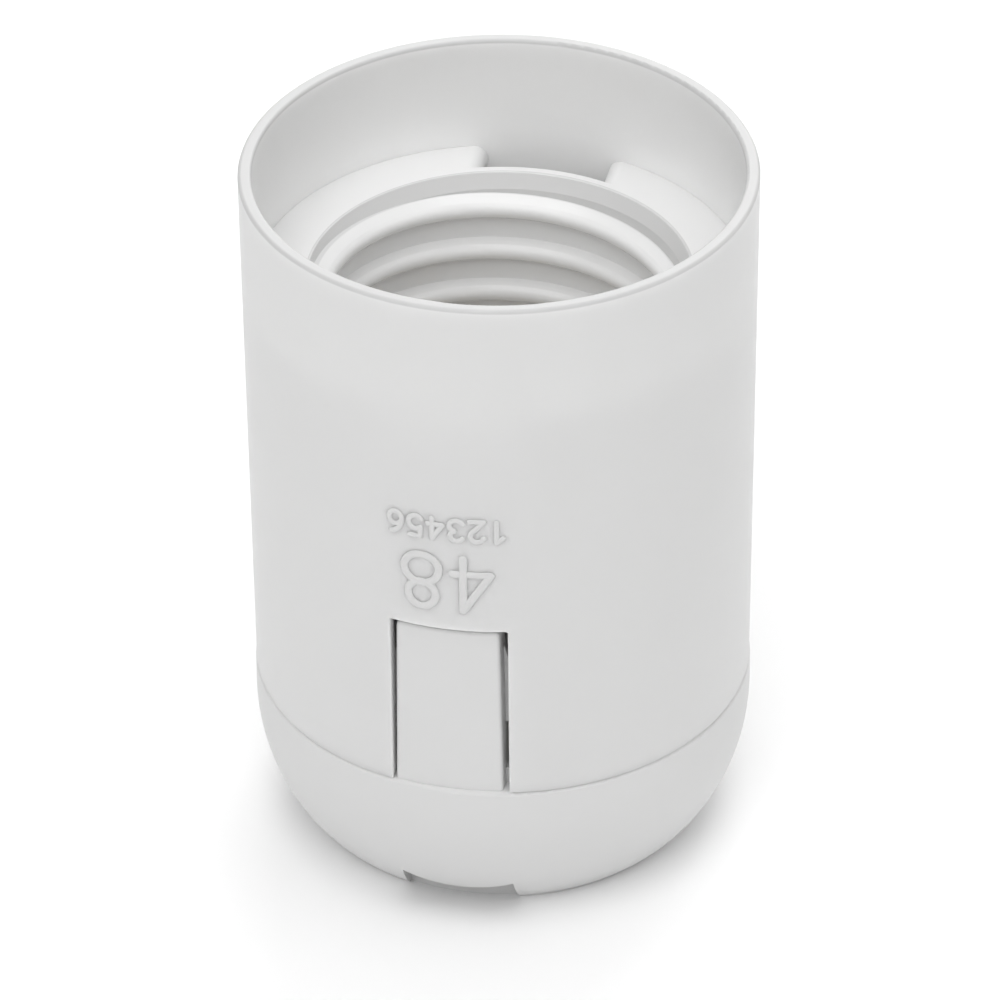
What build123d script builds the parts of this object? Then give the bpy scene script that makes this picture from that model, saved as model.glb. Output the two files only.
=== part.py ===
from build123d import *
import math
import os

# A lamp holder with a moulded screw thread, standing mouth up on its base.
# Millimetres, +Z towards the mouth, origin at the centre of the base. The two latches lie on the Y axis
# and the two wire terminals on the X axis.

os.makedirs("parts", exist_ok=True)

# Lamp thread: a rib with a rounded crest, right-handed, on the inside of a tube
thread_pitch = 3.629
thread_root_radius = 13.3
thread_depth = 1.0
thread_crest_rounding = 0.75
thread_flank_angle = 27
thread_crest_drop = 12.67
thread_end_turn = 0.6
thread_embed = 0.9
lead_in_width = 0.2
lead_in_height = 2.5
lead_in_flare = 0.48
lead_in_flare_height = 1.2
lead_in_edge_radius = 0.12
tube_wall = 1.36

# Skirt: the wall round the tube and the ledge between the two
total_height = 54.7
annular_gap = 2.54
skirt_wall = 1.2
skirt_flare = 0.35
mouth_wall = 1.02
mouth_edge_radius = 0.28
ledge_depth = 9.05
ledge_thickness = 1.4
ledge_gap_margin = 0.275
ledge_gap_rounding = 1.15

# Cap: the seam under the skirt, the dome outside and the hollow inside
seam_height = 12.6
seam_gap = 0.05
rim_overhang = 0.07
rim_edge_radius = 0.3
dome_straight = 2.2
dome_curve_cut = 2.3
dome_curve_width = 9.77
hollow_curve_cut = 3.2
hollow_curve_width = 8.2
base_thickness = 2.2
collar_height = 1.3
collar_clearance = 0.15
collar_wall = 0.85

# Latch windows in the skirt and the latch tongues of the cap
window_width = 8.65
window_height = 14.45
window_foot_radius = 0.5
window_top_radius = 0.15
window_edge_radius = 0.1
tongue_root_gap = 0.3
tongue_side_gap = 0.525
tongue_tip_gap = 0.35
tongue_tip_radius = 0.45
tongue_edge_radius = 0.3
tongue_recess = 0.25
wing_reach = 1.15
wing_rise = 5.3
tooth_height = 1.5
tooth_length = 1.5
tooth_depth = 0.35
latch_clearance = 0.1
latch_turn = -0.47

# Slots in the edge of the base, under the latches
base_slot_margin = 0.15
base_slot_inset = 0.15
base_slot_step = 0.25
base_slot_roof = 1.4

# Cap: the entry for a threaded stem of 10 mm and its lock screw
entry_radius = 4.46
entry_height = 9.5
entry_wall = 2.94
entry_chamfer = 0.6
lock_angle = 40
lock_axis_height = 0.72
lock_tip_gap = 0.37
lock_length = 5.0
lock_radius = 1.95
lock_tip_chamfer = 0.4
lock_slot_width = 0.6
lock_slot_depth = 0.8
lock_boss_wall = 1.3
lock_stand_out = 1.1

# Carrier: the insulating block that stands on four ribs of the cap
rib_thickness = 1.6
rib_depth = 2.4
rib_rise = 0.3
carrier_clearance = 0.3
carrier_height = 8.9
carrier_wall = 1.4
carrier_floor = 2.4
carrier_top_gap = 0.2
key_clearance = 0.2
clip_rise = 4.1
clip_width = 6.0
clip_reach = 1.0
clip_height = 1.2
clip_clearance = 0.1

# Terminals: one brass block each side, with a clamp screw from outside and a wire hole from below
terminal_length = 8.1
terminal_width = 6.4
terminal_height = 5.8
terminal_inset = 1.5
terminal_edge_radius = 0.4
pocket_clearance = 0.1
pocket_wall = 1.1
wire_hole_radius = 1.3
wire_hole_wall = 0.6
wire_hole_roof = 1.0
clamp_radius = 1.45
clamp_head_radius = 2.6
clamp_head_height = 1.9
clamp_head_gap = 0.3
clamp_head_clearance = 0.2
clamp_head_edge_radius = 0.3
clamp_slot_width = 0.7
clamp_slot_depth = 0.9
clamp_window_clearance = 0.9
screw_clearance = 0.05

# Contacts: two springy strips riveted through the carrier to the terminals
strip_thickness = 0.5
strip_width = 5.2
strip_bend_radius = 0.7
foot_inset = 1.6
foot_lap = 2.2
rivet_inset = 4.0
rivet_radius = 0.8
rivet_depth = 0.9
rivet_head_radius = 1.35
rivet_head_height = 0.5
rivet_head_edge_radius = 0.3
centre_contact_height = 2.25
side_contact_height = 5.25
side_contact_hook = 1.4
contact_spacing = 1.6

# Radii, worked outwards from the lamp thread and then back into the cap
thread_crest_radius = thread_root_radius - thread_depth
lead_in_radius = thread_root_radius + lead_in_width
tube_radius = thread_root_radius + tube_wall
skirt_bore_radius = tube_radius + annular_gap
skirt_foot_radius = skirt_bore_radius + skirt_wall
mouth_radius = skirt_foot_radius + skirt_flare
mouth_inner_radius = mouth_radius - mouth_wall
rim_radius = skirt_foot_radius + rim_overhang
collar_radius = skirt_bore_radius - collar_clearance
hollow_radius = collar_radius - collar_wall
tongue_radius = skirt_foot_radius - tongue_recess
wing_radius = skirt_bore_radius - tooth_depth - latch_clearance
base_slot_outer = hollow_radius - base_slot_inset
entry_boss_radius = entry_radius + entry_wall
rib_inner = hollow_radius - rib_depth
carrier_radius = hollow_radius - carrier_clearance
carrier_bore_radius = carrier_radius - carrier_wall
clip_tip = hollow_radius - clip_reach
clip_flat = clip_tip - carrier_clearance

# Heights, worked upwards from the seam and down from the mouth
skirt_foot = seam_height + seam_gap
collar_top = seam_height + collar_height
window_top = seam_height + window_height
tongue_tip = window_top - tongue_tip_gap
wing_foot = seam_height + wing_rise
dome_curve_top = seam_height - dome_straight
dome_curve_height = dome_curve_top + dome_curve_cut
hollow_curve_height = dome_curve_top - base_thickness + hollow_curve_cut
rib_height = seam_height + rib_rise
carrier_top = rib_height + carrier_height
carrier_underside = carrier_top - carrier_floor
clip_step = rib_height + clip_rise
tube_foot = carrier_top + carrier_top_gap
ledge_height = total_height - ledge_depth
clamp_axis_height = carrier_underside - clamp_head_radius - clamp_head_clearance
key_top = clamp_axis_height - clamp_head_radius - key_clearance
contact_foot = carrier_top + strip_thickness / 2

# Widths of what lines up with the windows, and places along the X axis
ledge_gap_width = window_width + 2 * ledge_gap_margin
base_slot_width = window_width - 2 * base_slot_margin
tongue_root_width = window_width - 2 * tongue_root_gap
tongue_tip_width = window_width - 2 * tongue_side_gap
terminal_outer = carrier_bore_radius - terminal_inset
terminal_inner = terminal_outer - terminal_length
wire_hole_x = terminal_inner + wire_hole_wall + wire_hole_radius
rivet_x = terminal_outer - rivet_inset
foot_outer = terminal_outer - foot_inset
foot_inner = rivet_x - foot_lap
clamp_window_width = 2 * (clamp_head_radius + clamp_window_clearance)

# Lock screw: its tip stands just outside the entry's bore
lock_lean = math.radians(lock_angle)
lock_boss_radius = lock_radius + screw_clearance + lock_boss_wall
lock_tip_reach = (lock_radius - lock_tip_chamfer) * math.sin(lock_lean)
lock_tip = (entry_radius + lock_tip_gap + lock_tip_reach) / math.cos(lock_lean)
lock_boss_length = lock_tip + lock_length - lock_stand_out

# Thread crest on the +X side, the first one below the mouth, and the start of its helix below the tube.
# Above that crest the rib goes on for a part of a turn and ends under the ledge.
thread_crest_height = total_height - thread_crest_drop
turns_below = math.ceil((thread_crest_height - tube_foot) / thread_pitch) + 1
thread_start = thread_crest_height - turns_below * thread_pitch
thread_length = (turns_below + thread_end_turn) * thread_pitch

# The rib's section, from its crest outwards: a rounded crest, then two straight flanks
flank = math.radians(thread_flank_angle)
crest_end_radius = thread_crest_radius + thread_crest_rounding * (1 - math.sin(flank))
crest_end_rise = thread_crest_rounding * math.cos(flank)
thread_base_radius = thread_root_radius + thread_embed
thread_base_rise = crest_end_rise + (thread_base_radius - crest_end_radius) * math.tan(flank)


# Latch windows: what is taken out of the skirt's wall, rounded at the top and flared at the open foot
with BuildPart() as windows:
    with BuildSketch(Plane.XZ):
        with BuildLine():
            flare_reach = window_width / 2 + 2 * window_foot_radius
            Polyline(
                (-flare_reach, seam_height),
                (-flare_reach, skirt_foot),
                (-window_width / 2, skirt_foot),
                (-window_width / 2, window_top),
                (window_width / 2, window_top),
                (window_width / 2, skirt_foot),
                (flare_reach, skirt_foot),
                (flare_reach, seam_height),
                close=True,
            )
        opening = make_face()
        heads = opening.vertices().group_by(Axis.Y)[-1]
        feet = opening.vertices().group_by(Axis.Y)[-2].sort_by(Axis.X)[1:3]
        fillet(heads, radius=window_top_radius)
        fillet(feet, radius=window_foot_radius)
    extrude(amount=mouth_radius, both=True)
    with BuildSketch(Plane.XY.offset(seam_height)):
        Circle(mouth_radius)
        Circle((tube_radius + skirt_bore_radius) / 2, mode=Mode.SUBTRACT)
    extrude(amount=window_top - seam_height, mode=Mode.INTERSECT)


# Lamp thread: the rib's section wound along a helix and trimmed to the tube
with BuildPart() as lamp_thread:
    with BuildLine() as thread_path:
        Helix(
            pitch=thread_pitch,
            height=thread_length,
            radius=thread_crest_radius,
            center=(0, 0, thread_start),
        )
    with BuildSketch(Plane.XZ):
        with BuildLine():
            crest = ThreePointArc(
                (crest_end_radius, thread_start - crest_end_rise),
                (thread_crest_radius, thread_start),
                (crest_end_radius, thread_start + crest_end_rise),
            )
            Polyline(
                crest @ 1,
                (thread_base_radius, thread_start + thread_base_rise),
                (thread_base_radius, thread_start - thread_base_rise),
                crest @ 0,
            )
        make_face()
    sweep(path=thread_path.wires()[0], is_frenet=True)
    split(bisect_by=Plane.XY.offset(ledge_height), keep=Keep.BOTTOM)
    split(bisect_by=Plane.XY.offset(tube_foot), keep=Keep.TOP)


# Lead-in: what is taken out of the tube's wall above the thread, with the rib left standing
with BuildPart() as lead_in:
    with BuildSketch(Plane.XZ):
        with BuildLine():
            Polyline(
                (0, total_height),
                (lead_in_radius + lead_in_flare, total_height),
                (lead_in_radius + lead_in_flare, ledge_height),
                (lead_in_radius, ledge_height - lead_in_flare_height),
                (lead_in_radius, ledge_height - lead_in_height),
                (0, ledge_height - lead_in_height - lead_in_radius),
                close=True,
            )
        make_face()
    revolve(axis=Axis.Z)
    add(lamp_thread.part, mode=Mode.SUBTRACT)


# Skirt: threaded tube, ledge, outer wall and latch windows in one moulding
with BuildPart() as skirt:
    add(lamp_thread.part)
    # The wall, ledge and tube, turned about the axis
    with BuildSketch(Plane.XZ):
        with BuildLine():
            Polyline(
                (skirt_bore_radius, skirt_foot),
                (skirt_foot_radius, skirt_foot),
                (mouth_radius, total_height),
                (mouth_inner_radius, total_height),
                (mouth_inner_radius, ledge_height),
                (thread_root_radius, ledge_height),
                (thread_root_radius, tube_foot),
                (tube_radius, tube_foot),
                (tube_radius, ledge_height - ledge_thickness),
                (skirt_bore_radius, ledge_height - ledge_thickness),
                close=True,
            )
        profile = make_face()
        mouth_corners = profile.vertices().group_by(Axis.Y)[-1]
        fillet(mouth_corners, radius=mouth_edge_radius)
    revolve(axis=Axis.Z)

    # The lead-in above the thread, with its upper edge rounded
    add(lead_in.part, mode=Mode.SUBTRACT)
    lead_in_edge = skirt.edges().filter_by(GeomType.CIRCLE).filter_by_position(
        Axis.Z, ledge_height - lead_in_edge_radius, ledge_height + lead_in_edge_radius
    ).sort_by(SortBy.RADIUS)[0]
    fillet(lead_in_edge, radius=lead_in_edge_radius)

    # The two gaps in the ledge, open down to the windows' upper edges
    with BuildSketch(Plane.XY.offset(window_top)):
        Circle(mouth_inner_radius)
        Circle(tube_radius, mode=Mode.SUBTRACT)
        Rectangle(ledge_gap_width, 2 * mouth_radius, mode=Mode.INTERSECT)
    extrude(amount=ledge_height - window_top, mode=Mode.SUBTRACT)
    gap_edges = skirt.edges().filter_by(Axis.Y).group_by(Axis.Z)[-1]
    fillet(gap_edges, radius=ledge_gap_rounding)

    # The two latch windows, with all edges of the outer wall's foot and of the windows rounded
    add(windows.part, mode=Mode.SUBTRACT)
    outer_wall = skirt.faces().filter_by(GeomType.CONE).sort_by(SortBy.AREA)[-1]
    window_rims = outer_wall.edges().filter_by_position(Axis.X, -window_width / 2, window_width / 2)
    fillet(window_rims, radius=window_edge_radius)

    # Four teeth inside the wall, beside the windows and under the wings of the tongues
    with BuildSketch(Plane.XY.offset(wing_foot - latch_clearance - tooth_height)):
        Circle((skirt_bore_radius + skirt_foot_radius) / 2)
        Circle(skirt_bore_radius - tooth_depth, mode=Mode.SUBTRACT)
        Rectangle(window_width + 2 * tooth_length, 2 * mouth_radius, mode=Mode.INTERSECT)
        Rectangle(window_width, 2 * mouth_radius, mode=Mode.SUBTRACT)
        Rectangle(2 * mouth_radius, skirt_bore_radius, mode=Mode.SUBTRACT)
    extrude(amount=tooth_height)

skirt.part.label = "skirt"
export_step(skirt.part, "parts/skirt.step")


# Latch tongue on the -Y side: a curved plate that fills the window, with rounded upper corners
with BuildPart() as tongue:
    with BuildSketch(Plane.XZ):
        with BuildLine():
            Polyline(
                (-tongue_root_width / 2, dome_curve_top),
                (tongue_root_width / 2, dome_curve_top),
                (tongue_tip_width / 2, tongue_tip),
                (-tongue_tip_width / 2, tongue_tip),
                close=True,
            )
        plate = make_face()
        fillet(plate.vertices().group_by(Axis.Y)[-1], radius=tongue_tip_radius)
    extrude(amount=mouth_radius)
    with BuildSketch(Plane.XY.offset(dome_curve_top)):
        Circle(tongue_radius)
        Circle(hollow_radius, mode=Mode.SUBTRACT)
    extrude(amount=tongue_tip - dome_curve_top, mode=Mode.INTERSECT)
    front_edges = tongue.faces().sort_by(Axis.Y)[0].edges().sort_by(Axis.Z)[1:]
    fillet(front_edges, radius=tongue_edge_radius)

# Its wings: an arrowhead behind the skirt's wall, wider than the window
with BuildPart() as wings:
    with BuildSketch(Plane.XZ):
        with BuildLine():
            Polyline(
                (-window_width / 2 - wing_reach, wing_foot),
                (window_width / 2 + wing_reach, wing_foot),
                (tongue_tip_width / 2 - tongue_tip_radius, tongue_tip),
                (-tongue_tip_width / 2 + tongue_tip_radius, tongue_tip),
                close=True,
            )
        make_face()
    extrude(amount=mouth_radius)
    with BuildSketch(Plane.XY.offset(wing_foot)):
        Circle(wing_radius)
        Circle(hollow_radius, mode=Mode.SUBTRACT)
    extrude(amount=tongue_tip - wing_foot, mode=Mode.INTERSECT)

# Its clip: a nib on the inner side that holds the carrier down
with BuildPart() as clip:
    clip_foot = clip_step + clip_clearance
    with BuildSketch(Plane.YZ.offset(-clip_width / 2)):
        with BuildLine():
            Polyline(
                (-hollow_radius - clip_clearance, clip_foot),
                (-clip_tip, clip_foot),
                (-clip_tip, clip_foot + clip_height / 3),
                (-hollow_radius - clip_clearance, clip_foot + clip_height),
                close=True,
            )
        make_face()
    extrude(amount=clip_width)


# Hollow of the cap: what is taken out of the dome, with the boss and ribs left standing
with BuildPart() as hollow:
    hollow_angle = math.degrees(math.asin((dome_curve_top - base_thickness) / hollow_curve_height))
    with BuildSketch(Plane.XZ):
        with BuildLine():
            hollow_curve = EllipticalCenterArc(
                center=(hollow_radius - hollow_curve_width, dome_curve_top),
                x_radius=hollow_curve_width,
                y_radius=hollow_curve_height,
                start_angle=-hollow_angle,
                arc_size=hollow_angle,
            )
            Polyline(
                hollow_curve @ 1,
                (hollow_radius, collar_top),
                (0, collar_top),
                (0, base_thickness),
                hollow_curve @ 0,
            )
        make_face()
    revolve(axis=Axis.Z)
    # The boss round the threaded entry, and the small boss of the lock screw on it
    with BuildSketch(Plane.XY):
        Circle(entry_boss_radius)
    extrude(amount=entry_height, mode=Mode.SUBTRACT)
    lock_plane = Plane(
        origin=(0, 0, lock_axis_height),
        x_dir=(1, 0, 0),
        z_dir=(0, math.cos(lock_lean), math.sin(lock_lean)),
    )
    with BuildSketch(lock_plane):
        Circle(lock_boss_radius)
    extrude(amount=lock_boss_length, mode=Mode.SUBTRACT)
    # Four ribs that carry the contact carrier
    with BuildSketch(Plane.XY):
        with PolarLocations((rib_inner + rim_radius) / 2, 4, start_angle=45):
            Rectangle(rim_radius - rib_inner, rib_thickness)
    extrude(amount=rib_height, mode=Mode.SUBTRACT)
    # Two keys that stand in the carrier's windows
    key_width = clamp_window_width - 2 * key_clearance
    with BuildSketch(Plane.XY.offset(dome_curve_top)):
        with PolarLocations((carrier_bore_radius + rim_radius) / 2, 2):
            Rectangle(rim_radius - carrier_bore_radius, key_width)
    extrude(amount=key_top - dome_curve_top, mode=Mode.SUBTRACT)


# Cap: dome, collar, tongues and entry in one moulding
with BuildPart() as dome_cap:
    base_angle = math.degrees(math.asin(dome_curve_top / dome_curve_height))
    with BuildSketch(Plane.XZ):
        with BuildLine():
            dome_curve = EllipticalCenterArc(
                center=(rim_radius - dome_curve_width, dome_curve_top),
                x_radius=dome_curve_width,
                y_radius=dome_curve_height,
                start_angle=-base_angle,
                arc_size=base_angle,
            )
            Polyline(
                dome_curve @ 1,
                (rim_radius, seam_height),
                (collar_radius, seam_height),
                (collar_radius, collar_top),
                (0, collar_top),
                (0, 0),
                dome_curve @ 0,
            )
        section = make_face()
        rim_corner = section.vertices().group_by(Axis.X)[-1].sort_by(Axis.Y)[-1]
        fillet(rim_corner, radius=rim_edge_radius)
    revolve(axis=Axis.Z)
    add(hollow.part, mode=Mode.SUBTRACT)

    # Both latches, half a turn apart and turned to one side by their play in the windows
    for turn in (latch_turn, latch_turn + 180):
        add(tongue.part.rotate(Axis.Z, turn))
        add(wings.part.rotate(Axis.Z, turn))
        add(clip.part.rotate(Axis.Z, turn))

    # The slots in the base's edge under the latches: a flat outer side, a round inner side
    base_radius = (dome_curve @ 0).X
    with BuildSketch(Plane.XY):
        Rectangle(base_slot_width, 2 * base_slot_outer)
        Circle(base_radius - base_slot_step, mode=Mode.SUBTRACT)
    extrude(amount=dome_curve_top - base_slot_roof, mode=Mode.SUBTRACT)

    # The entry's bore with its lead-in, and the lock screw's bore into it
    with BuildSketch(Plane.XY):
        Circle(entry_radius)
    extrude(amount=entry_height, mode=Mode.SUBTRACT)
    entry_edge = dome_cap.edges().filter_by(GeomType.CIRCLE).group_by(Axis.Z)[0].sort_by(SortBy.RADIUS)[0]
    chamfer(entry_edge, length=entry_chamfer)
    with BuildSketch(lock_plane.offset(entry_radius)):
        Circle(lock_radius + screw_clearance)
    extrude(amount=lock_boss_length, mode=Mode.SUBTRACT)

dome_cap.part.label = "dome_cap"
export_step(dome_cap.part, "parts/dome_cap.step")


# Lock screw: a slotted set screw, its tip just outside the entry's bore
with BuildPart() as lock_screw:
    with BuildSketch(lock_plane.offset(lock_tip)):
        Circle(lock_radius)
    extrude(amount=lock_length)
    tip_edge = lock_screw.edges().filter_by(GeomType.CIRCLE).sort_by(Axis.Z)[0]
    chamfer(tip_edge, length=lock_tip_chamfer)
    with BuildSketch(lock_plane.offset(lock_tip + lock_length - lock_slot_depth)):
        Rectangle(2 * lock_boss_radius, lock_slot_width)
    extrude(amount=lock_slot_depth, mode=Mode.SUBTRACT)

lock_screw.part.label = "lock_screw"
export_step(lock_screw.part, "parts/lock_screw.step")


# Carrier: a floor under the threaded tube on a ring wall, with a pocket for each terminal
with BuildPart() as contact_carrier:
    with BuildSketch(Plane.XY.offset(rib_height)):
        Circle(carrier_radius)
    extrude(amount=carrier_top - rib_height)
    with BuildSketch(Plane.XY.offset(rib_height)):
        Circle(carrier_bore_radius)
    extrude(amount=carrier_underside - rib_height, mode=Mode.SUBTRACT)
    # The pockets' side walls
    pocket_half = terminal_width / 2 + pocket_clearance
    pocket_middle = (terminal_inner + terminal_outer) / 2
    with BuildSketch(Plane.XY.offset(carrier_underside - terminal_height)):
        for side in (-1, 1):
            for row in (-1, 1):
                with Locations((side * pocket_middle, row * (pocket_half + pocket_wall / 2))):
                    Rectangle(terminal_length, pocket_wall)
    extrude(amount=terminal_height)
    # Windows for the clamp screws, open at the foot
    with BuildSketch(Plane.XY.offset(rib_height)):
        Rectangle(2 * carrier_radius, clamp_window_width)
        Rectangle(2 * terminal_outer, clamp_window_width, mode=Mode.SUBTRACT)
    extrude(amount=carrier_underside - rib_height, mode=Mode.SUBTRACT)
    # Recesses for the clips of the latch tongues
    with BuildSketch(Plane.XY.offset(clip_step)):
        Rectangle(2 * carrier_radius, 2 * carrier_radius)
        Rectangle(2 * carrier_radius, 2 * clip_flat, mode=Mode.SUBTRACT)
    extrude(amount=carrier_top - clip_step, mode=Mode.SUBTRACT)
    # Holes for the rivets
    with BuildSketch(Plane.XY.offset(carrier_underside)):
        with Locations((-rivet_x, 0), (rivet_x, 0)):
            Circle(rivet_radius)
    extrude(amount=carrier_floor, mode=Mode.SUBTRACT)

contact_carrier.part.label = "contact_carrier"
export_step(contact_carrier.part, "parts/contact_carrier.step")


# Centre contact: from its riveted foot on the -X side up to a flat bump on the axis
with BuildPart() as centre_contact:
    bump_height = carrier_top + centre_contact_height - strip_thickness / 2
    with BuildSketch(Plane.XZ):
        with BuildLine():
            FilletPolyline(
                (-foot_outer, contact_foot),
                (-foot_inner, contact_foot),
                (-strip_width / 2, bump_height),
                (strip_width / 2, bump_height),
                (foot_inner - contact_spacing, contact_foot + strip_thickness),
                radius=strip_bend_radius,
            )
        trace(line_width=strip_thickness)
    extrude(amount=strip_width / 2, both=True)
    with BuildSketch(Plane.XY.offset(carrier_top)):
        with Locations((-rivet_x, 0)):
            Circle(rivet_radius)
    extrude(amount=strip_thickness, mode=Mode.SUBTRACT)

centre_contact.part.label = "centre_contact"
export_step(centre_contact.part, "parts/centre_contact.step")


# Side contact: from its riveted foot on the +X side up beside the thread
with BuildPart() as side_contact:
    side_top = carrier_top + side_contact_height
    with BuildSketch(Plane.XZ):
        with BuildLine():
            FilletPolyline(
                (foot_inner, contact_foot),
                (foot_outer - strip_thickness / 2, contact_foot),
                (foot_outer - strip_thickness / 2, side_top - side_contact_hook),
                (foot_outer - 3 * strip_thickness, side_top),
                radius=strip_bend_radius,
            )
        trace(line_width=strip_thickness)
    extrude(amount=strip_width / 2, both=True)
    with BuildSketch(Plane.XY.offset(carrier_top)):
        with Locations((rivet_x, 0)):
            Circle(rivet_radius)
    extrude(amount=strip_thickness, mode=Mode.SUBTRACT)

side_contact.part.label = "side_contact"
export_step(side_contact.part, "parts/side_contact.step")


# The terminals, clamp screws and rivets are the same on both sides of the holder
for side, name in ((-1, "centre"), (1, "side")):
    with BuildPart() as terminal:
        with BuildSketch(Plane.XY.offset(carrier_underside - terminal_height)):
            with Locations((side * pocket_middle, 0)):
                Rectangle(terminal_length, terminal_width)
        extrude(amount=terminal_height)
        block_edges = terminal.edges().filter_by(Axis.Z)
        fillet(block_edges, radius=terminal_edge_radius)
        with BuildSketch(Plane.XY.offset(carrier_underside - terminal_height)):
            with Locations((side * wire_hole_x, 0)):
                Circle(wire_hole_radius)
        extrude(amount=terminal_height - wire_hole_roof, mode=Mode.SUBTRACT)
        with BuildSketch(Plane.XY.offset(carrier_underside - rivet_depth)):
            with Locations((side * rivet_x, 0)):
                Circle(rivet_radius)
        extrude(amount=rivet_depth, mode=Mode.SUBTRACT)
        clamp_plane = Plane(origin=(side * wire_hole_x, 0, clamp_axis_height), z_dir=(side, 0, 0))
        with BuildSketch(clamp_plane):
            Circle(clamp_radius + screw_clearance)
        extrude(amount=terminal_outer - wire_hole_x, mode=Mode.SUBTRACT)
    terminal.part.label = name + "_terminal"
    export_step(terminal.part, "parts/" + name + "_terminal.step")

    with BuildPart() as clamp_screw:
        clamp_tip = wire_hole_x + wire_hole_radius + screw_clearance
        head_start = terminal_outer + clamp_head_gap
        with BuildSketch(Plane(origin=(side * clamp_tip, 0, clamp_axis_height), z_dir=(side, 0, 0))):
            Circle(clamp_radius)
        extrude(amount=head_start - clamp_tip)
        head_plane = Plane(origin=(side * head_start, 0, clamp_axis_height), z_dir=(side, 0, 0))
        with BuildSketch(head_plane):
            Circle(clamp_head_radius)
        extrude(amount=clamp_head_height)
        head_rim = clamp_screw.edges().filter_by(GeomType.CIRCLE).sort_by(Axis.X, reverse=side > 0)[0]
        fillet(head_rim, radius=clamp_head_edge_radius)
        with BuildSketch(head_plane.offset(clamp_head_height - clamp_slot_depth)):
            Rectangle(2 * clamp_head_radius, clamp_slot_width)
        extrude(amount=clamp_slot_depth, mode=Mode.SUBTRACT)
    clamp_screw.part.label = name + "_clamp_screw"
    export_step(clamp_screw.part, "parts/" + name + "_clamp_screw.step")

    with BuildPart() as rivet:
        with BuildSketch(Plane.XY.offset(carrier_underside - rivet_depth)):
            with Locations((side * rivet_x, 0)):
                Circle(rivet_radius)
        extrude(amount=rivet_depth + carrier_floor + strip_thickness)
        with BuildSketch(Plane.XY.offset(carrier_top + strip_thickness)):
            with Locations((side * rivet_x, 0)):
                Circle(rivet_head_radius)
        extrude(amount=rivet_head_height)
        rivet_rim = rivet.edges().filter_by(GeomType.CIRCLE).sort_by(Axis.Z)[-1]
        fillet(rivet_rim, radius=rivet_head_edge_radius)
    rivet.part.label = name + "_rivet"
    export_step(rivet.part, "parts/" + name + "_rivet.step")
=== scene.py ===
"""Looks of a white plastic lamp holder: camera, light, floor, materials and the fine detail on the pieces.
Everything is in metres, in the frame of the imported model: mouth up along +Z, front latch towards -Y."""
import math

import bpy
from mathutils import Matrix, Vector


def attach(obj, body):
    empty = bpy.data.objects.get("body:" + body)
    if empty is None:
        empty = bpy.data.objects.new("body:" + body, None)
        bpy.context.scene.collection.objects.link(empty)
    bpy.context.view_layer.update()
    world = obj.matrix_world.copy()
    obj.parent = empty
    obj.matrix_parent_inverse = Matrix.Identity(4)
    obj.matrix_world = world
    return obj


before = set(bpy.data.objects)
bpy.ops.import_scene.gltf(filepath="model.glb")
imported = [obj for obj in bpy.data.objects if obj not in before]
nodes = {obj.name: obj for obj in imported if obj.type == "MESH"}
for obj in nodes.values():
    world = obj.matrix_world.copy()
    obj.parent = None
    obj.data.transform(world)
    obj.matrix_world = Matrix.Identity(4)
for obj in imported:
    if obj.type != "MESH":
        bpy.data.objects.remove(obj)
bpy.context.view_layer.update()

MM = 0.001

# Camera: where the photographer stood, in degrees and metres, with the aim's small offsets in degrees
VIEW_AZIMUTH = 12.5
VIEW_ELEVATION = 34.15
VIEW_DISTANCE = 562.2 * MM
VIEW_TARGET = Vector((0, 0, 31.275 * MM))
VIEW_YAW = 0.013
VIEW_PITCH = -0.456
VIEW_ROLL = 0.495
SENSOR_WIDTH = 36.0
FOCAL_LENGTH = 275.72
CLIP_NEAR, CLIP_FAR = 0.05, 20


def direction(azimuth, elevation):
    """Unit vector from the object towards a point at that azimuth, from -Y towards +X, and elevation."""
    turn, rise = math.radians(azimuth), math.radians(elevation)
    return Vector((math.sin(turn) * math.cos(rise), -math.cos(turn) * math.cos(rise), math.sin(rise)))


def add_camera():
    data = bpy.data.cameras.new("photo_camera")
    data.sensor_width = SENSOR_WIDTH
    data.lens = FOCAL_LENGTH
    data.clip_start, data.clip_end = CLIP_NEAR, CLIP_FAR
    camera = bpy.data.objects.new("photo_camera", data)
    bpy.context.scene.collection.objects.link(camera)
    away = direction(VIEW_AZIMUTH, VIEW_ELEVATION)
    aim = away.to_track_quat("Z", "Y").to_matrix()
    for angle, axis in ((VIEW_YAW, "Y"), (VIEW_PITCH, "X"), (-VIEW_ROLL, "Z")):
        aim = aim @ Matrix.Rotation(math.radians(angle), 3, axis)
    camera.matrix_world = Matrix.LocRotScale(VIEW_TARGET + away * VIEW_DISTANCE, aim, None)
    bpy.context.scene.camera = camera


# Surround: its brightness by the upward part of a direction, 0 level and 1 straight up
SURROUND_RAMP = [(0.0, 0.4), (0.08, 0.12), (0.33, 0.34), (0.5, 0.78), (0.65, 0.9), (0.8, 0.4), (0.95, 0.1)]
# Dark flags at both sides: the surround's strength by the sideways part of a direction
FLAGS = {"From Min": 0.25, "From Max": 0.85, "To Min": 1.16, "To Max": 0.66}


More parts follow.
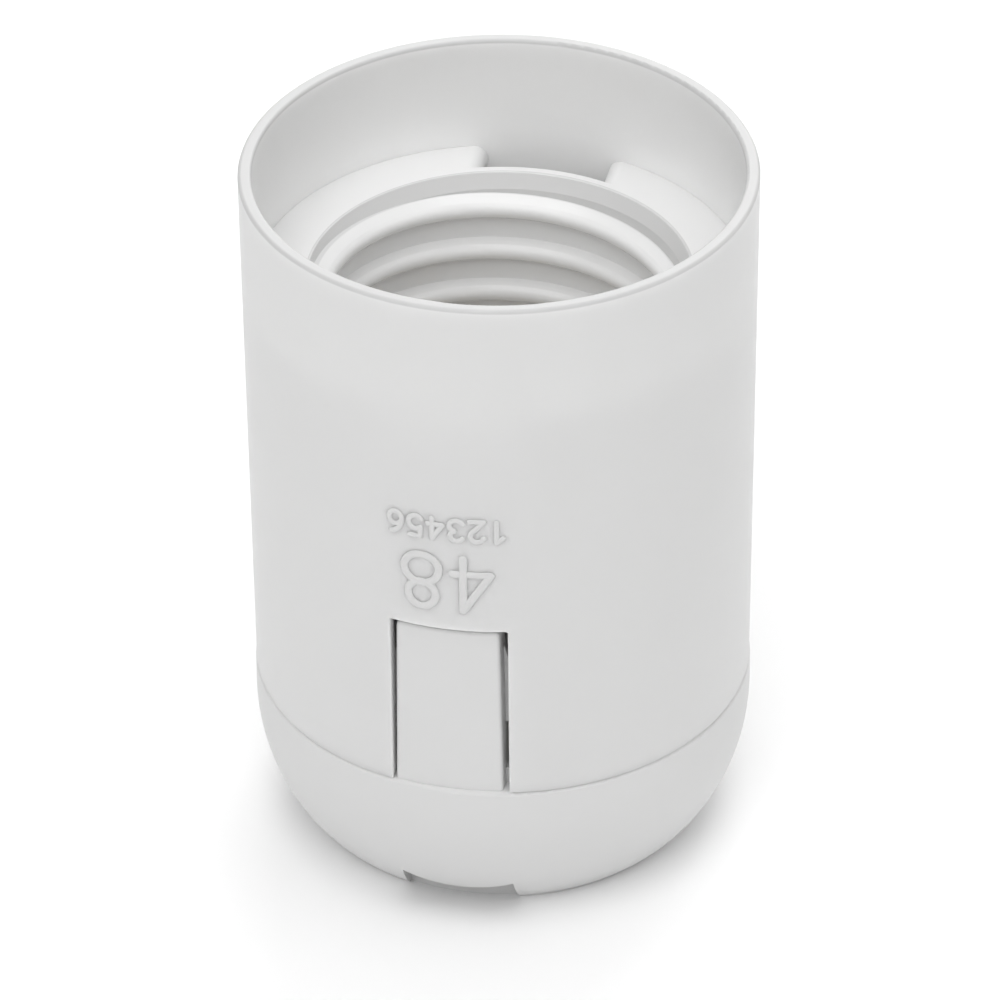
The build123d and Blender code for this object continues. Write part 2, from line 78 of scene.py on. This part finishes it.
def add_surround():
    world = bpy.data.worlds.new("studio")
    world.use_nodes = True
    tree = world.node_tree
    background = tree.nodes["Background"]
    towards = tree.nodes.new("ShaderNodeTexCoord").outputs["Generated"]
    parts = tree.nodes.new("ShaderNodeSeparateXYZ")
    tree.links.new(towards, parts.inputs[0])

    ramp = tree.nodes.new("ShaderNodeValToRGB")
    stops = ramp.color_ramp.elements
    while len(stops) < len(SURROUND_RAMP):
        stops.new(SURROUND_RAMP[len(stops)][0])
    for stop, (place, level) in zip(stops, SURROUND_RAMP):
        stop.position, stop.color = place, (level, level, level, 1)
    tree.links.new(parts.outputs["Z"], ramp.inputs[0])
    tree.links.new(ramp.outputs["Color"], background.inputs["Color"])

    aside = tree.nodes.new("ShaderNodeMath")
    aside.operation = "ABSOLUTE"
    flags = tree.nodes.new("ShaderNodeMapRange")
    for socket, value in FLAGS.items():
        flags.inputs[socket].default_value = value
    tree.links.new(parts.outputs["X"], aside.inputs[0])
    tree.links.new(aside.outputs[0], flags.inputs["Value"])
    tree.links.new(flags.outputs[0], background.inputs["Strength"])
    bpy.context.scene.world = world


def add_softbox(name, azimuth, elevation, distance, side, power):
    """A square area light that faces the object, with its angles in degrees and its power in watts."""
    data = bpy.data.lights.new(name, "AREA")
    data.shape = "RECTANGLE"
    data.size = data.size_y = side
    data.energy = power
    light = bpy.data.objects.new(name, data)
    bpy.context.scene.collection.objects.link(light)
    towards = direction(azimuth, elevation)
    light.location = VIEW_TARGET + towards * distance
    light.rotation_mode = "QUATERNION"
    light.rotation_quaternion = towards.to_track_quat("Z", "Y")


# Materials. A Mix node has a set of sockets for each data type, and these are the ones for colours.
MIX_FACTOR, MIX_COLOUR_A, MIX_COLOUR_B, MIX_COLOUR_OUT = 0, 6, 7, 2


class Surface:
    """A material with one Principled shader, and the ways to add nodes to it."""

    def __init__(self, name):
        self.material = bpy.data.materials.new(name)
        self.material.use_nodes = True
        self.tree = self.material.node_tree
        self.tree.nodes.clear()
        output = self.tree.nodes.new("ShaderNodeOutputMaterial")
        self.shader = self.tree.nodes.new("ShaderNodeBsdfPrincipled")
        self.tree.links.new(self.shader.outputs["BSDF"], output.inputs["Surface"])

    def plug(self, socket, value):
        """Links an output to a socket, or sets the socket to a plain value."""
        if isinstance(value, bpy.types.NodeSocket):
            self.tree.links.new(value, socket)
        else:
            socket.default_value = value

    def add(self, kind, settings=None, **inputs):
        """A new node. Its inputs are given by name, or as _0, _1 and so on by number."""
        made = self.tree.nodes.new("ShaderNode" + kind)
        for key, value in (settings or {}).items():
            setattr(made, key, value)
        for key, value in inputs.items():
            self.plug(made.inputs[int(key[1:])] if key[0] == "_" else made.inputs[key], value)
        return made

    def noise(self, place, scale, detail):
        return self.add("TexNoise", Vector=place, Scale=scale, Detail=detail).outputs["Fac"]

    def mix(self, factor, colour_a, colour_b, blend_type="MIX"):
        made = self.add("Mix", {"data_type": "RGBA", "blend_type": blend_type})
        self.plug(made.inputs[MIX_FACTOR], factor)
        self.plug(made.inputs[MIX_COLOUR_A], colour_a)
        self.plug(made.inputs[MIX_COLOUR_B], colour_b)
        return made.outputs[MIX_COLOUR_OUT]

    def set(self, name, value):
        """Gives one of the shader's own inputs its link or value."""
        self.plug(self.shader.inputs[name], value)


def opaque(colour, shade=1.0):
    return (*[part * shade for part in colour], 1)


# Floor
FLOOR_SIZE = 8.0
FLOOR_WHITE = (0.97, 0.97, 0.97)
FLOOR_ROUGHNESS = 0.9
FLOOR_SPECULAR = 0.2


def add_floor():
    half = FLOOR_SIZE / 2
    mesh = bpy.data.meshes.new("studio_floor")
    corners = [(-half, -half, 0), (half, -half, 0), (half, half, 0), (-half, half, 0)]
    mesh.from_pydata(corners, [], [(0, 1, 2, 3)])
    floor = bpy.data.objects.new("studio_floor", mesh)
    bpy.context.scene.collection.objects.link(floor)
    paper = Surface("paper_floor")
    paper.set("Base Color", opaque(FLOOR_WHITE))
    paper.set("Roughness", FLOOR_ROUGHNESS)
    paper.set("Specular IOR Level", FLOOR_SPECULAR)
    mesh.materials.append(paper.material)


# White plastic: faint clouds of tone, patches of gloss, a slight waviness and a fine grain.
# The scales are per metre, so 180 makes clouds of some 5 mm.
PLASTIC_IOR = 1.49
PLASTIC_SPECULAR = 0.36
CLOUD_SCALE, CLOUD_DETAIL, CLOUD_SHADE = 180.0, 3.0, 0.985
PATCH_SCALE, PATCH_DETAIL, PATCH_SPREAD = 600.0, 3.0, 0.05
WAVE_SCALE, WAVE_DETAIL, WAVE_STRENGTH, WAVE_DEPTH = 220.0, 1.0, 0.5, 0.02 * MM
GRAIN_SCALE, GRAIN_DETAIL, GRAIN_STRENGTH, GRAIN_DEPTH = 7000.0, 2.0, 0.35, 0.01 * MM


def plastic_surface(name, colour, satin):
    """A plastic with its relief, and the place, colour and roughness that are still to be plugged in."""
    plastic = Surface(name)
    place = plastic.add("TexCoord").outputs["Object"]
    cloud = plastic.noise(place, CLOUD_SCALE, CLOUD_DETAIL)
    tint = plastic.mix(cloud, opaque(colour, CLOUD_SHADE), opaque(colour))
    patches = plastic.noise(place, PATCH_SCALE, PATCH_DETAIL)
    roughness = plastic.add("MapRange", Value=patches, _3=satin - PATCH_SPREAD, _4=satin + PATCH_SPREAD)
    wave = plastic.add("Bump", Strength=WAVE_STRENGTH, Distance=WAVE_DEPTH,
                       Height=plastic.noise(place, WAVE_SCALE, WAVE_DETAIL))
    grain = plastic.add("Bump", Strength=GRAIN_STRENGTH, Distance=GRAIN_DEPTH,
                        Height=plastic.noise(place, GRAIN_SCALE, GRAIN_DETAIL),
                        Normal=wave.outputs["Normal"])
    plastic.set("Normal", grain.outputs["Normal"])
    plastic.set("IOR", PLASTIC_IOR)
    plastic.set("Specular IOR Level", PLASTIC_SPECULAR)
    return plastic, place, tint, roughness.outputs[0]


def moulded_plastic(name, colour, satin):
    plastic, _, tint, roughness = plastic_surface(name, colour, satin)
    plastic.set("Base Color", tint)
    plastic.set("Roughness", roughness)
    return plastic


# The skirt's zones, by radius and height, and how each differs
ZONE_EDGE = 0.1 * MM
TUBE_RADIUS = 14.1 * MM
TUBE_ROUGHNESS = 0.2
# Painted shade: the lead-in band in the bore, under the ledge, is coloured darker where shade falls in the
# recess
LEAD_IN_RADIUS, LEAD_IN_FOOT = 13.38 * MM, 43.0 * MM
LEAD_IN_PAINTED_SHADE = 0.84
# The rim's top is coloured darker than the rest of the skirt
RIM_FOOT = 54.4 * MM
RIM_SHADE = 0.75
# Painted shade: the skirt's outside below the rim is coloured darker than its inside, the same plastic, to
# offset the more light that falls on the outside
OUTSIDE_RADIUS = 18.0 * MM
OUTSIDE_PAINTED_SHADE = 0.91
THIN_WALL_RADIUS = 14.9 * MM
THIN_WALL_SCATTER = 1.2 * MM


def skirt_plastic(name, colour, satin):
    """The skirt's plastic: polished in the tube, coloured darker on the rim's top, with painted shade in
    the lead-in and on the outside, and light comes through its thin wall.
    """
    plastic, place, tint, roughness = plastic_surface(name, colour, satin)

    def past(value, edge):
        return plastic.add("MapRange", Value=value, _1=edge, _2=edge + ZONE_EDGE, _3=0.0, _4=1.0).outputs[0]

    def short_of(value, edge):
        return plastic.add("MapRange", Value=value, _1=edge, _2=edge + ZONE_EDGE, _3=1.0, _4=0.0).outputs[0]

    def both(zone_a, zone_b):
        return plastic.add("Math", {"operation": "MULTIPLY"}, _0=zone_a, _1=zone_b).outputs[0]

    level_place = plastic.add("VectorMath", {"operation": "MULTIPLY"}, _0=place, _1=(1, 1, 0)).outputs[0]
    radius = plastic.add("VectorMath", {"operation": "LENGTH"}, _0=level_place).outputs["Value"]
    height = plastic.add("SeparateXYZ", _0=place).outputs["Z"]
    tube = short_of(radius, TUBE_RADIUS)
    lead_in = both(both(tube, past(radius, LEAD_IN_RADIUS)), past(height, LEAD_IN_FOOT))
    rim, below_rim = past(height, RIM_FOOT), short_of(height, RIM_FOOT)
    outside = both(past(radius, OUTSIDE_RADIUS), below_rim)
    thin_wall = both(past(radius, THIN_WALL_RADIUS), below_rim)
    # The painted shade in the lead-in and on the outside, and the darker rim top, are multiplied into the
    # colour
    for zone, shade in ((lead_in, LEAD_IN_PAINTED_SHADE), (rim, RIM_SHADE), (outside, OUTSIDE_PAINTED_SHADE)):
        tint = plastic.mix(zone, tint, opaque((shade, shade, shade)), blend_type="MULTIPLY")
    glossy = plastic.add("Mix", {"data_type": "FLOAT"}, _0=tube, _2=roughness, _3=TUBE_ROUGHNESS)
    plastic.set("Base Color", tint)
    plastic.set("Roughness", glossy.outputs[0])
    plastic.set("Subsurface Weight", thin_wall)
    plastic.set("Subsurface Radius", (1, 1, 1))
    plastic.set("Subsurface Scale", THIN_WALL_SCATTER)
    return plastic


# Metal: fine lines from rolling or drawing, and a faint stain
LINE_STRETCH, LINE_DETAIL, LINE_STRENGTH, LINE_DEPTH = 25, 3.0, 0.4, 0.006 * MM
LINE_SMOOTHER, LINE_ROUGHER = 0.08, 0.12
STAIN_SCALE, STAIN_DETAIL, STAIN_SHADE = 500.0, 4.0, 0.82


def metal(name, colour, roughness, line_scale, line_axis=0):
    """Rolled or drawn metal with fine lines along one axis, 0 for X and 1 for Y."""
    bare = Surface(name)
    place = bare.add("TexCoord").outputs["Object"]
    scales = [line_scale] * 3
    scales[line_axis] = line_scale / LINE_STRETCH
    drawn_out = bare.add("Mapping", Vector=place, Scale=scales).outputs[0]
    lines = bare.noise(drawn_out, 1.0, LINE_DETAIL)
    stain = bare.noise(place, STAIN_SCALE, STAIN_DETAIL)
    varied = bare.add("MapRange", Value=lines, _3=roughness - LINE_SMOOTHER, _4=roughness + LINE_ROUGHER)
    relief = bare.add("Bump", Strength=LINE_STRENGTH, Distance=LINE_DEPTH, Height=lines)
    bare.set("Base Color", bare.mix(stain, opaque(colour, STAIN_SHADE), opaque(colour)))
    bare.set("Roughness", varied.outputs[0])
    bare.set("Normal", relief.outputs["Normal"])
    bare.set("Metallic", 1.0)
    return bare


def dress(names, surface):
    for name in names:
        nodes[name].data.materials[0] = surface.material


def add_piece(name, verts, faces, surface, body):
    """A smooth-shaded mesh, riding on a body."""
    mesh = bpy.data.meshes.new(name)
    mesh.from_pydata(verts, [], faces)
    mesh.shade_smooth()
    piece = bpy.data.objects.new(name, mesh)
    bpy.context.scene.collection.objects.link(piece)
    mesh.materials.append(surface.material)
    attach(piece, body)


# Raised numbers on the skirt above the front latch: rounded strokes, upside down as the holder stands.
# A digit is one unit high, with x to its right and y up.
BEND_STEPS, LOOP_STEPS = 16, 28
DIGIT_WIDTH = 0.6


def bend(x, y, width, height, start, end, steps=BEND_STEPS):
    """Points on an elliptical arc about (x, y), from one angle to another, in degrees."""
    angles = (math.radians(start + (end - start) * i / steps) for i in range(steps + 1))
    return [(x + width * math.cos(a), y + height * math.sin(a)) for a in angles]


def loop(x, y, width, height):
    return bend(x, y, width, height, 0, 360, LOOP_STEPS)


DIGIT_STROKES = {
    "1": [[(0.1, 0.78), (0.36, 1)], [(0.36, 1), (0.36, 0)]],
    "2": [bend(0.3, 0.72, 0.28, 0.28, 165, -38) + [(0.02, 0)], [(0.02, 0), (0.6, 0)]],
    "3": [bend(0.28, 0.76, 0.26, 0.24, 155, -90) + bend(0.28, 0.26, 0.3, 0.26, 90, -155)],
    "4": [[(0.44, 0), (0.44, 1)], [(0.44, 1), (0, 0.3)], [(0, 0.3), (0.62, 0.3)]],
    "5": [[(0.54, 1), (0.1, 1)], [(0.1, 1), (0.06, 0.55)], bend(0.28, 0.32, 0.3, 0.32, 138, -145)],
    "6": [loop(0.3, 0.3, 0.28, 0.3), bend(0.58, 0.32, 0.56, 0.68, 182, 100)],
    "8": [loop(0.3, 0.76, 0.23, 0.24), loop(0.3, 0.27, 0.29, 0.27)],
}
# How finely a stroke is cut, across its round back and along its round ends, and how far its foot is sunk
BACK_STEPS = 8
END_STEPS = 4
SINK = 0.01 * MM

# The skirt's outer wall, from its foot at the seam to the mouth
SKIRT_FOOT, SKIRT_TOP = 12.65 * MM, 54.7 * MM
SKIRT_FOOT_RADIUS, SKIRT_TOP_RADIUS = 18.4 * MM, 18.75 * MM


def skirt_point(across, height, rise):
    """A point over the skirt's front, by its way round, its height and its rise above the wall."""
    share = (height - SKIRT_FOOT) / (SKIRT_TOP - SKIRT_FOOT)
    radius = SKIRT_FOOT_RADIUS + share * (SKIRT_TOP_RADIUS - SKIRT_FOOT_RADIUS)
    turn = across / radius
    return Vector(((radius + rise) * math.sin(turn), -(radius + rise) * math.cos(turn), height))


def stroke_sections(path, half_width):
    """Centre, side direction and share of full size along a stroke, with a round end before and after."""
    points = [Vector(p) for p in path]
    sections = []
    for i, point in enumerate(points):
        before, after = points[max(i - 1, 0)], points[min(i + 1, len(points) - 1)]
        ahead = (after - before).normalized()
        side = Vector((-ahead.y, ahead.x))
        sections.append((point, side, 1.0))
        if i == 0:
            first, first_side, first_ahead = point, side, ahead
    angles = [math.radians(90 * i / END_STEPS) for i in range(1, END_STEPS + 1)]
    lead = [(first - first_ahead * half_width * math.sin(a), first_side, math.cos(a)) for a in angles]
    tail = [(point + ahead * half_width * math.sin(a), side, math.cos(a)) for a in angles]
    return lead[::-1] + sections + tail


def add_numbers(name, text, surface, centre_height, digit_height, spacing, stroke_width, rise):
    """One row of raised digits that reads the right way up when the holder hangs mouth down."""
    verts, faces = [], []
    half_width = stroke_width / 2
    ring = BACK_STEPS + 1
    row_width = (len(text) - 1) * spacing + DIGIT_WIDTH * digit_height
    top = centre_height + digit_height / 2
    for place, digit in enumerate(text):
        left = row_width / 2 - place * spacing
        for stroke in DIGIT_STROKES[digit]:
            start = len(verts)
            path = [(left - x * digit_height, top - y * digit_height) for x, y in stroke]
            sections = stroke_sections(path, half_width)
            for centre, side, size in sections:
                for k in range(ring):
                    around = math.pi * k / BACK_STEPS
                    spot = centre + side * half_width * size * math.cos(around)
                    verts.append(skirt_point(spot.x, spot.y, rise * size * math.sin(around) - SINK))
            for row in range(len(sections) - 1):
                for k in range(BACK_STEPS):
                    a = start + row * ring + k
                    faces.append((a, a + 1, a + ring + 1, a + ring))
    add_piece(name, verts, faces, surface, body="skirt")


# The entry's fine thread: its rib stands in the bore, from just above the chamfer
ENTRY_RADIUS = 4.46 * MM
ENTRY_PITCH = 1.0 * MM
ENTRY_FOOT = 0.95 * MM
ENTRY_TURNS = 8
ENTRY_RIB_RISE = 0.2 * MM
# The rib's section: half its width at its foot and at its crest
ENTRY_HALF_FOOT, ENTRY_HALF_CREST = 0.4 * MM, 0.08 * MM
ENTRY_TURN_STEPS = 64
ENTRY_FADE_STEPS = 12


def add_entry_thread(surface):
    """A right-handed rib wound in the stem entry, fading in and out at its ends."""
    section = [(-ENTRY_HALF_FOOT, 0), (-ENTRY_HALF_CREST, 1), (ENTRY_HALF_CREST, 1), (ENTRY_HALF_FOOT, 0)]
    ring = len(section)
    steps = ENTRY_TURNS * ENTRY_TURN_STEPS
    verts, faces = [], []
    for i in range(steps + 1):
        turn = 2 * math.pi * i / ENTRY_TURN_STEPS
        height = ENTRY_FOOT + ENTRY_PITCH * i / ENTRY_TURN_STEPS
        fade = min(1.0, i / ENTRY_FADE_STEPS, (steps - i) / ENTRY_FADE_STEPS)
        for along, up in section:
            radius = ENTRY_RADIUS + SINK - up * fade * (ENTRY_RIB_RISE + SINK)
            verts.append((radius * math.cos(turn), radius * math.sin(turn), height + along))
    for i in range(steps):
        for k in range(ring - 1):
            a = i * ring + k
            faces.append((a, a + ring, a + ring + 1, a + 1))
    add_piece("entry_thread", verts, faces, surface, body="cap")


SKIRT_WHITE = (0.80, 0.80, 0.798)
CAP_WHITE = (0.71, 0.71, 0.708)
MARK_WHITE = (0.69, 0.69, 0.688)
OFF_WHITE = (0.68, 0.66, 0.61)
STRIP_BRASS = (0.80, 0.60, 0.30)
BAR_BRASS = (0.76, 0.57, 0.30)
ZINC = (0.66, 0.68, 0.70)
SATIN = 0.42
MATT = 0.6

add_camera()
add_surround()
add_softbox("overhead_softbox", azimuth=0, elevation=88, distance=0.9, side=0.6, power=3.1)
add_softbox("front_softbox", azimuth=-7, elevation=50, distance=1.2, side=0.9, power=4.75)
add_softbox("right_softbox", azimuth=90, elevation=45, distance=1.0, side=0.6, power=0.9)
add_softbox("back_softbox", azimuth=180, elevation=30, distance=1.0, side=0.6, power=3.5)
bpy.context.scene.view_settings.view_transform = "Standard"
add_floor()

mark_white = moulded_plastic("mark_white", MARK_WHITE, SATIN)
dress(["skirt"], skirt_plastic("skirt_white", SKIRT_WHITE, SATIN))
dress(["dome_cap"], moulded_plastic("cap_white", CAP_WHITE, SATIN))
dress(["contact_carrier"], moulded_plastic("carrier_white", OFF_WHITE, MATT))
dress(["centre_contact", "side_contact", "centre_rivet", "side_rivet"],
      metal("contact_brass_strip", STRIP_BRASS, roughness=0.26, line_scale=9000))
dress(["centre_terminal", "side_terminal"],
      metal("terminal_brass_bar", BAR_BRASS, roughness=0.32, line_scale=7000))
dress(["centre_clamp_screw", "side_clamp_screw", "lock_screw"],
      metal("screw_zinc", ZINC, roughness=0.3, line_scale=5000, line_axis=1))

add_numbers("small_numbers", "123456", mark_white, centre_height=35.82 * MM, digit_height=1.75 * MM,
            spacing=1.51 * MM, stroke_width=0.4 * MM, rise=0.1 * MM)
add_numbers("large_numbers", "48", mark_white, centre_height=31.12 * MM, digit_height=4.5 * MM,
            spacing=3.7 * MM, stroke_width=0.6 * MM, rise=0.12 * MM)
add_entry_thread(mark_white)
